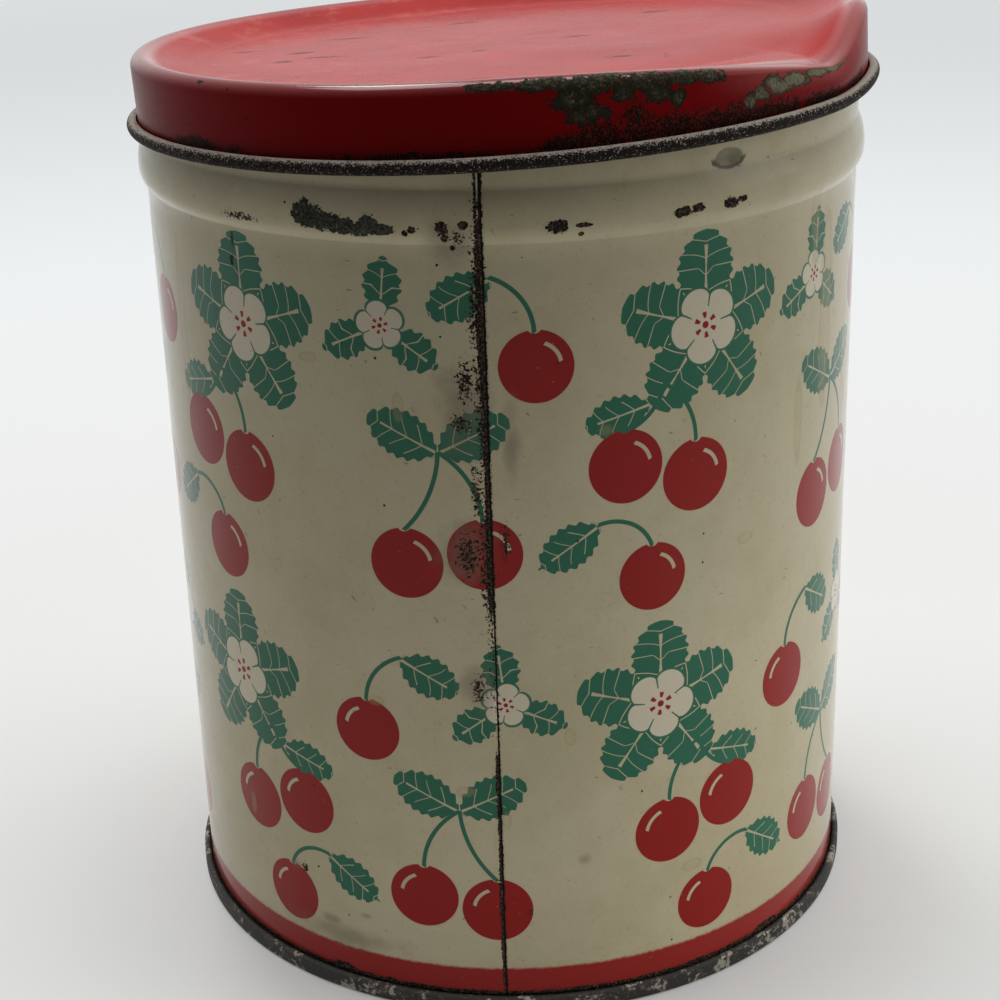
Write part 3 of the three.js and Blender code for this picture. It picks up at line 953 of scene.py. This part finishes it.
SKIRT_RUST = (
    (on_lid(8.0), 11.2, 5.0, 1.8), (on_lid(13.5), 11.2, 5.5, 4.2), (on_lid(18.5), 11.2, 4.5, 6.0),
    (on_lid(24.0), 11.2, 6.0, 4.6), (on_lid(32.0), 11.2, 8.0, 3.8), (on_lid(41.0), 11.2, 9.0, 3.6),
    (on_lid(52.0), 11.2, 9.0, 3.4), (on_lid(64.0), 11.2, 9.0, 2.6), (on_lid(-12.0), 12.0, 16.0, 1.2),
    (on_lid(-48.0), 11.6, 12.0, 1.6), (on_lid(-140.0), 11.4, 12.0, 3.0),
    (on_lid(110.0), 11.6, 30.0, 2.4),
)
# Scuffs on the panel: x, y, half width, half depth
PANEL_SCUFFS = (
    (-35.0, 1.0, 3.0, 1.6), (-37.0, -9.0, 2.6, 1.6), (-31.0, -6.0, 4.5, 0.8), (-28.0, 18.0, 5.0, 1.0),
    (-6.0, 30.0, 4.5, 1.2), (-12.0, -14.0, 3.0, 1.0), (-3.0, -11.0, 2.0, 0.9), (14.0, -2.0, 4.0, 1.2),
    (30.0, 24.0, 5.0, 1.4), (-46.0, 8.0, 3.0, 1.0), (20.0, -30.0, 3.0, 1.0),
)


def lid_path(size):
    sheet = size.sheet / MM
    crest = size.lid_height / MM - sheet / 2
    rounding = SHOULDER - sheet / 2
    centre = (RIM_RADIUS, crest - rounding)
    edge = (PANEL_RADIUS, crest - PANEL_RECESS)
    away = (centre[0] - edge[0], centre[1] - edge[1])
    slope = math.degrees(math.atan2(away[1], away[0]) + math.asin(rounding / math.hypot(*away)))
    shoulder = arc(rounding, centre, 90 + slope, 0, 9)
    curl_radius = (LID_CURL - sheet) / 2
    curl = arc(curl_radius, (LID_FIT_RADIUS + curl_radius, LID_CURL / 2), 180, 480)
    lift = math.tan(math.radians(slope))
    soft = [(edge[0] + x, edge[1] + lift * (x + 2) ** 2 / 8) for x in (-2, -1.2, -0.4, 0.4, 1.2, 2)]
    return [
        (0, edge[1]), *steps((0, edge[1]), soft[0], 4.0), *soft,
        *steps(soft[-1], shoulder[0], 1.2), *shoulder,
        *steps(shoulder[-1], curl[0], 0.8), *curl,
    ]


def dent_share(turn):
    """Share of the full dent round the rim: a long slope up to it, then a short fold."""
    angle = np.degrees(turn)
    slope = np.clip(angle / DENT_DEEPEST, 0, None) ** DENT_SLOPE
    return np.where(angle < DENT_DEEPEST, slope, smooth_step(angle, DENT_END, DENT_DEEPEST))


def lid_place(size):
    crest = (size.lid_height - size.sheet / 2) / MM
    shoulder_foot = size.lid_height / MM - SHOULDER
    drop = size.dent_drop / MM
    seat = size.lid_seat / MM
    lean = np.array(LID_LEAN.to_matrix())
    pivot = LEAN_PIVOT * size.lid_height / MM

    def place(turn, middle, outline, side):
        reach, level = middle[..., 0], middle[..., 1]
        on_skirt = np.clip((level - LID_CURL) / (shoulder_foot - LID_CURL), 0, 1)
        on_rim = np.clip((level - shoulder_foot) / (crest - shoulder_foot), 0, 1)
        on_panel = np.clip((reach / RIM_RADIUS - DENT_FADE) / (1 - DENT_FADE), 0, 1) ** 3
        wall = DENT_CURL_SHARE + (DENT_SKIRT_SHARE - DENT_CURL_SHARE) * on_skirt
        outside = reach > RIM_RADIUS
        share = np.where(outside, wall + (1 - wall) * on_rim, on_panel)
        dent = dent_share(turn)
        bulge = DENT_BULGE * np.sin(math.pi * on_skirt) * dent * outside
        warp = LID_WARP * (reach / RIM_RADIUS) ** 2 * np.cos(2 * turn)
        inside = smooth_step(reach, 58, 40)
        uneven = waves(turn, reach * 2, 2.1) * 0.22 * inside * smooth_step(reach, 0, 12)
        height = outline[..., 1] - drop * share * dent - warp + uneven
        square = on_circle(turn, outline[..., 0] + bulge, height - pivot)
        return square @ lean.T + np.array([LID_SHIFT, 0, seat + pivot])

    return place


# Distance along the lid's path of its crest and its curl, set when the lid is built
LID_RUNS = {}
FADED_AND_SHEEN, CHALKY, BLOOMED = (0.42, 0.032, 0.028), (0.5, 0.22, 0.2), (0.42, 0.11, 0.1)
DRIP, PANEL_SCUFF = (0.03, 0.006, 0.005), (0.05, 0.022, 0.02)
SPOT_DARK, SPOT_BROWN = (0.007, 0.004, 0.003), (0.06, 0.026, 0.016)
BARE_DARK, BARE_PALE, BARE_RIM = (0.02, 0.017, 0.01), (0.17, 0.155, 0.1), (0.01, 0.009, 0.006)
CURL_DARK = (0.014, 0.0105, 0.009)


def red_enamel():
    """Red enamel with a faded top that also holds painted sheen, bare at the rim's crest, speckled with rust
    and worn to metal at the curl.
    """
    colour = colours()
    paint = Paint.named("red enamel")
    place, unrolled = paint.point(), paint.unrolled()
    grit = paint.grain(place, 0.00038, 2.0, 0.6)
    fine = paint.grain(place, 0.0009, 5.0, 0.7)
    middle = paint.grain(place, 0.005, 3.0, 0.6)
    broad = paint.grain(place, 0.025, 3.0)
    uneven = paint.grain(place, 0.0028, 3.0, 0.6) - 0.5
    from_crest = paint.vector("SUBTRACT", unrolled, (0, LID_RUNS["crest"] * MM, 0))
    across, down, _ = paint.split(from_crest)
    across, down = across * (1 / MM), down * (1 / MM)
    on_curl = down - (LID_RUNS["curl"] - LID_RUNS["crest"])

    # The top is paler and pinker: partly real fading, partly painted sheen of the bright surroundings
    on_top = paint.between(down, 0.8, -1.5)
    fade_and_sheen = on_top * (0.5 + paint.between(broad + middle * 0.4, 0.5, 0.95) * 0.25)
    enamel = paint.mix(fade_and_sheen, colour.enamel, FADED_AND_SHEEN)
    left, _, _ = paint.split(place)
    left = paint.between(left, 0.05, -0.05)
    chalky = on_top * left * paint.between(middle + fine * 0.5, 0.78, 1.0)
    enamel = paint.mix(chalky * 0.25, enamel, CHALKY)
    dented = paint.between(across, on_lid(26), on_lid(46)) * paint.between(across, on_lid(110), on_lid(75))
    bloom = dented * paint.between(down, 9.5, 1.5) * (1 - on_top)
    enamel = paint.mix(bloom * 0.35, enamel, BLOOMED)
    drips = paint.grain(paint.stretched(place, 1, 1, 0.1), 0.0015, 3.0, 0.6)
    dripped = paint.between(drips, 0.66, 0.76) * paint.between(down, 3, 10)
    enamel = paint.mix(dripped * 0.6, enamel, DRIP)
    scuff_zone = paint.zone(place, PANEL_SCUFFS) + (fine - 0.5) * 2.0 + (middle - 0.5) * 1.2
    streak = paint.grain(paint.stretched(place, 0.12, 1, 1), 0.0012, 3.0, 0.6)
    scuffed = on_top * (paint.between(scuff_zone, 1.0, 0.3) * 0.8 | paint.between(streak, 0.66, 0.74) * 0.45)
    enamel = paint.mix(scuffed, enamel, PANEL_SCUFF)

    rust_zone = paint.zone(from_crest, SKIRT_RUST) + (middle - 0.5) * 1.1 + uneven * 1.3
    density = paint.between(rust_zone, 1.5, 0.3)
    speckled = paint.speckle(place, 0.00028, density * 1.1)
    flecks = paint.stipple(place, 0.003, 0.05, 0.1)
    crease = (on_curl + (fine - 0.5) * 0.9) > -0.35
    spotted = speckled | flecks | crease
    oxide = paint.mix(paint.between(fine + grit, 1.05, 1.2), SPOT_DARK, SPOT_BROWN)
    surface = paint.mix(spotted, enamel, oxide)

    bare_zone = paint.zone(from_crest, CREST_BARE) + (fine - 0.5) * 1.5 + uneven * 1.9 + (grit - 0.5) * 0.8
    bare = bare_zone < 0.95
    lightness = dented * 0.2 + paint.between(down, 1.6, 0.4) * 0.12
    metal = paint.mix(paint.between(fine * 0.5 + grit * 0.5 + lightness, 0.46, 0.76), BARE_DARK, BARE_PALE)
    rim = paint.between(bare_zone, 0.5, 0.85) * paint.between(down, 1.2, 4.0)
    metal = paint.mix(rim * 0.85, metal, BARE_RIM)
    surface = paint.mix(bare, surface, metal)

    curl_bare = (on_curl + (fine - 0.5) * 1.2) > 0.0
    # The curl's upper outer face is lighter: rubbed tin and painted light from above. The dark of its lower
    # face is partly painted shade.
    upper = paint.between(on_curl, 3.4, 4.4)
    upper = upper * (0.27 + dented * 0.08)
    rubbed = paint.between(paint.grain(place, 0.00026, 2.0) + fine * 0.5 + upper, 0.84, 1.0)
    curl_metal = paint.mix(rubbed, CURL_DARK, colour.tin)
    surface = paint.mix(curl_bare, surface, curl_metal)
    worn = bare | spotted | curl_bare
    on_crest = paint.between(abs(down), 3.0, 1.0)
    return paint.finish(
        Base_Color=surface,
        Roughness=0.28 + worn * 0.34 + scuffed * 0.2 + (middle - 0.5) * 0.14,
        Coat_Weight=(1 - worn) * (on_top * 0.1 + on_crest * 0.7),
        Coat_Roughness=0.14,
        IOR=1.3,
        Specular_IOR_Level=0.08,
        Normal=paint.bump(paint.between(bare_zone, 0.9, 1.0) * 0.8 + fine * 0.2 + middle * 0.16, 0.00006),
    )


class CANISTER_OT_lid(bpy.types.Operator):
    """Builds the dented slip lid with its curl"""

    bl_idname = "canister.lid"
    bl_label = "Slip lid"

    def execute(self, context):
        size = sizes()
        path = np.array(lid_path(size))
        run = np.concatenate([[0], np.cumsum(np.hypot(*np.diff(path, axis=0).T))])
        crest = int(path[:, 1].argmax())
        curl = int(np.flatnonzero((path[:, 1] <= LID_CURL / 2 + 0.01) & (path[:, 0] > PANEL_RADIUS))[0])
        LID_RUNS.update(crest=float(run[crest]), curl=float(run[curl]))
        angles = with_finer(even_turn(360), 30, 84, 0.5)
        piece = turned("tin_lid", path, size.sheet / MM, angles, lid_place(size),
                       [red_enamel(), lacquered_inside()], LID_FIT_RADIUS, curl)
        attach(piece, "lid")
        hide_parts("lid")
        return {"FINISHED"}


# Stage


def aim(thing, target):
    thing.rotation_euler = (Vector(target) - thing.location).to_track_quat("-Z", "Y").to_euler()


def lamp(name, place, target, width, height, watts, lit_only=None):
    """An area lamp. It may light one collection alone, and then leaves no glint."""
    light = bpy.data.lights.new(name, "AREA")
    light.shape, light.size, light.size_y = "RECTANGLE", width, height
    light.energy = watts
    thing = bpy.data.objects.new(name, light)
    bpy.context.scene.collection.objects.link(thing)
    thing.location = place
    thing.visible_camera = False
    if lit_only:
        thing.light_linking.receiver_collection = lit_only
        thing.visible_glossy = False
    aim(thing, target)


BACKDROP = (0.834, 0.86, 0.856)
SKY = (0.97, 1.0, 0.995)
FLOOR_HALF = 4.0
FLOOR_WARM, FLOOR_PALE, FLOOR_FRONT_SHADOW = (0.75, 0.75, 0.745), (0.78, 0.78, 0.77), (0.03, 0.03, 0.03)
FLOOR_NEAR, FLOOR_BEYOND = (0.765, 0.765, 0.75), (0.93, 0.98, 1.0)


def showing(paint):
    """One for the rays that show the background: the camera's, and those that metal and glass send on."""
    camera_ray, glossy, passed = (paint.node("LightPath", output=name)
                                  for name in ("Is Camera Ray", "Is Glossy Ray", "Is Transmission Ray"))
    return camera_ray | glossy | passed


# Glows of the world: direction, where each begins as a cosine, level
GLOWS = (
    ((-0.2, 0.915, 0.35), 0.6, 0.66), ((0.941, 0.282, 0.188), 0.1, 0.38), ((0.891, 0.445, 0.089), 0.75, 0.31),
    ((-0.82, 0.553, 0.15), 0.3, 0.45),
)


def world(strength):
    """A studio that is dim on the camera's side and glows softly behind and to the right."""
    made = bpy.data.worlds.new("studio")
    bpy.context.scene.world = made
    paint = Paint(made)
    way = paint.node("TexCoord", output="Generated")
    glow = None
    for direction, start, level in GLOWS:
        lobe = paint.between(paint.along(way, direction), start, 1.0) * (level * strength)
        glow = lobe if glow is None else glow + lobe
    lit = paint.node("Background", inputs={"Color": SKY, "Strength": glow})
    shown = paint.node("Background", inputs={"Color": BACKDROP, "Strength": 1.0})
    background = paint.node("MixShader", inputs={0: showing(paint), 1: lit, 2: shown})
    paint.node("OutputWorld", inputs={"Surface": background})


def floor():
    """A pale floor that keeps the shadow and fades into the backdrop.

    In front of the tin it is painted dark as a shadow for the light that it throws back up, so it throws
    little light back up onto the tin.
    """
    mesh = bpy.data.meshes.new("floor")
    corners = [(x * FLOOR_HALF, y * FLOOR_HALF, 0) for x, y in ((-1, -1), (1, -1), (1, 1), (-1, 1))]
    mesh.from_pydata(corners, [], [(0, 1, 2, 3)])
    paint = Paint.named("pale floor")
    seen = showing(paint)
    cloud = paint.grain(paint.point(), 0.12, 3.0)
    _, back, _ = paint.split(paint.point())
    away = paint.distance(paint.point(), (0, 0, 0))
    # Painted shadow in front of the tin, seen only by the light that bounces back onto it
    dim = paint.between(back, -0.24, -0.3) * (1 - seen)
    shade = paint.mix(dim, paint.mix(cloud, FLOOR_WARM, FLOOR_PALE), FLOOR_FRONT_SHADOW)
    matt = paint.node("BsdfDiffuse", inputs={"Color": shade})
    near = paint.mix(paint.between(away, 0.1, 0.55), FLOOR_NEAR, FLOOR_BEYOND)
    faded = paint.between(away, 0.6, 2.4)
    glow = paint.node("Emission", inputs={"Color": paint.mix(faded, near, BACKDROP), "Strength": 1.0})
    share = paint.between(away, 0.07, 0.12) * 0.25 + faded * 0.55 + 0.2
    shader = paint.node("MixShader", inputs={0: seen * share, 1: matt, 2: glow})
    paint.node("OutputMaterial", inputs={"Surface": shader})
    mesh.materials.append(paint.owner)
    sheet = bpy.data.objects.new("floor", mesh)
    bpy.context.scene.collection.objects.link(sheet)


CAMERA_PLACE = (0.0, -0.35053, 0.2123)
CAMERA_YAW = math.radians(-0.356)
CAMERA_PITCH = math.radians(-21.807)
CAMERA_ROLL = -0.0315


def camera(lens):
    data = bpy.data.cameras.new("camera")
    data.lens, data.sensor_width = lens, 36.0
    data.clip_start, data.clip_end = 0.01, 50.0
    thing = bpy.data.objects.new("camera", data)
    bpy.context.scene.collection.objects.link(thing)
    forward = Vector((math.sin(CAMERA_YAW) * math.cos(CAMERA_PITCH),
                      math.cos(CAMERA_YAW) * math.cos(CAMERA_PITCH), math.sin(CAMERA_PITCH)))
    level = forward.cross(Vector((0, 0, 1))).normalized()
    upright = level.cross(forward)
    right = level * math.cos(CAMERA_ROLL) + upright * math.sin(CAMERA_ROLL)
    up = upright * math.cos(CAMERA_ROLL) - level * math.sin(CAMERA_ROLL)
    turn = Matrix((right, up, -forward)).transposed().to_4x4()
    thing.matrix_world = Matrix.Translation(CAMERA_PLACE) @ turn
    bpy.context.scene.camera = thing


# Name, place, target, width, height, the studio's value that sets it, share of that value
SOFTBOXES = (
    ("top_softbox", (0.0, 0.1, 1.1), (0, 0, 0.07), 1.1, 0.5, "top", 1.0),
    ("right_softbox", (0.8, -0.1, 0.45), (0, 0, 0.07), 0.5, 0.6, "right", 1.0),
    ("glint_lamp", (-0.2, 0.45, 0.85), (0, 0, 0.07), 0.2, 0.2, "glint", 1.0),
)
LOW_LAMPS = (
    ("low_fill", (0.0, -0.3, 0.012), (0, 0, 0.02), 0.5, 0.024, "low", 1.0),
    ("low_right", (0.17, -0.09, 0.016), (0.04, 0, 0.03), 0.15, 0.02, "low", 0.7),
    ("foot_fill", (0.0, -0.15, 0.012), (0, 0, 0.03), 0.3, 0.02, "low", 0.2),
)


class CANISTER_OT_stage(bpy.types.Operator):
    """Sets the floor, the lamps and the camera"""

    bl_idname = "canister.stage"
    bl_label = "Studio"

    def execute(self, context):
        studio = context.scene.canister_studio
        context.scene.view_settings.view_transform = "Standard"
        tin = bpy.data.collections.new("tin")
        for thing in context.scene.objects:
            if thing.type == "MESH":
                tin.objects.link(thing)
        floor()
        world(studio.sky)
        for name, place, target, width, height, source, share in SOFTBOXES:
            lamp(name, place, target, width, height, getattr(studio, source) * share)
        for name, place, target, width, height, source, share in LOW_LAMPS:
            lamp(name, place, target, width, height, getattr(studio, source) * share, tin)
        camera(studio.lens)
        return {"FINISHED"}


class CANISTER_PT_panel(bpy.types.Panel):
    """Lists the canister's pieces"""

    bl_label = "Tin canister"
    bl_idname = "CANISTER_PT_panel"
    bl_space_type = "VIEW_3D"
    bl_region_type = "UI"
    bl_category = "Canister"

    def draw(self, context):
        for group in ("canister_sizes", "canister_colours", "canister_studio"):
            settings = getattr(context.scene, group)
            for key in settings.__annotations__:
                self.layout.prop(settings, key)
        for step in STEPS:
            self.layout.operator(step.bl_idname)


STEPS = (CANISTER_OT_body, CANISTER_OT_bottom, CANISTER_OT_compound, CANISTER_OT_lid, CANISTER_OT_stage)
GROUPS = {
    "canister_sizes": CanisterSizes,
    "canister_colours": CanisterColours,
    "canister_studio": CanisterStudio,
}


def register():
    for made in (*GROUPS.values(), *STEPS, CANISTER_PT_panel):
        bpy.utils.register_class(made)
    for name, group in GROUPS.items():
        setattr(bpy.types.Scene, name, bpy.props.PointerProperty(type=group))


def unregister():
    for name in GROUPS:
        delattr(bpy.types.Scene, name)
    for made in (CANISTER_PT_panel, *reversed(STEPS), *GROUPS.values()):
        bpy.utils.unregister_class(made)


def main():
    register()
    for step in STEPS:
        group, name = step.bl_idname.split(".")
        getattr(getattr(bpy.ops, group), name)()


if __name__ == "__main__":
    main()
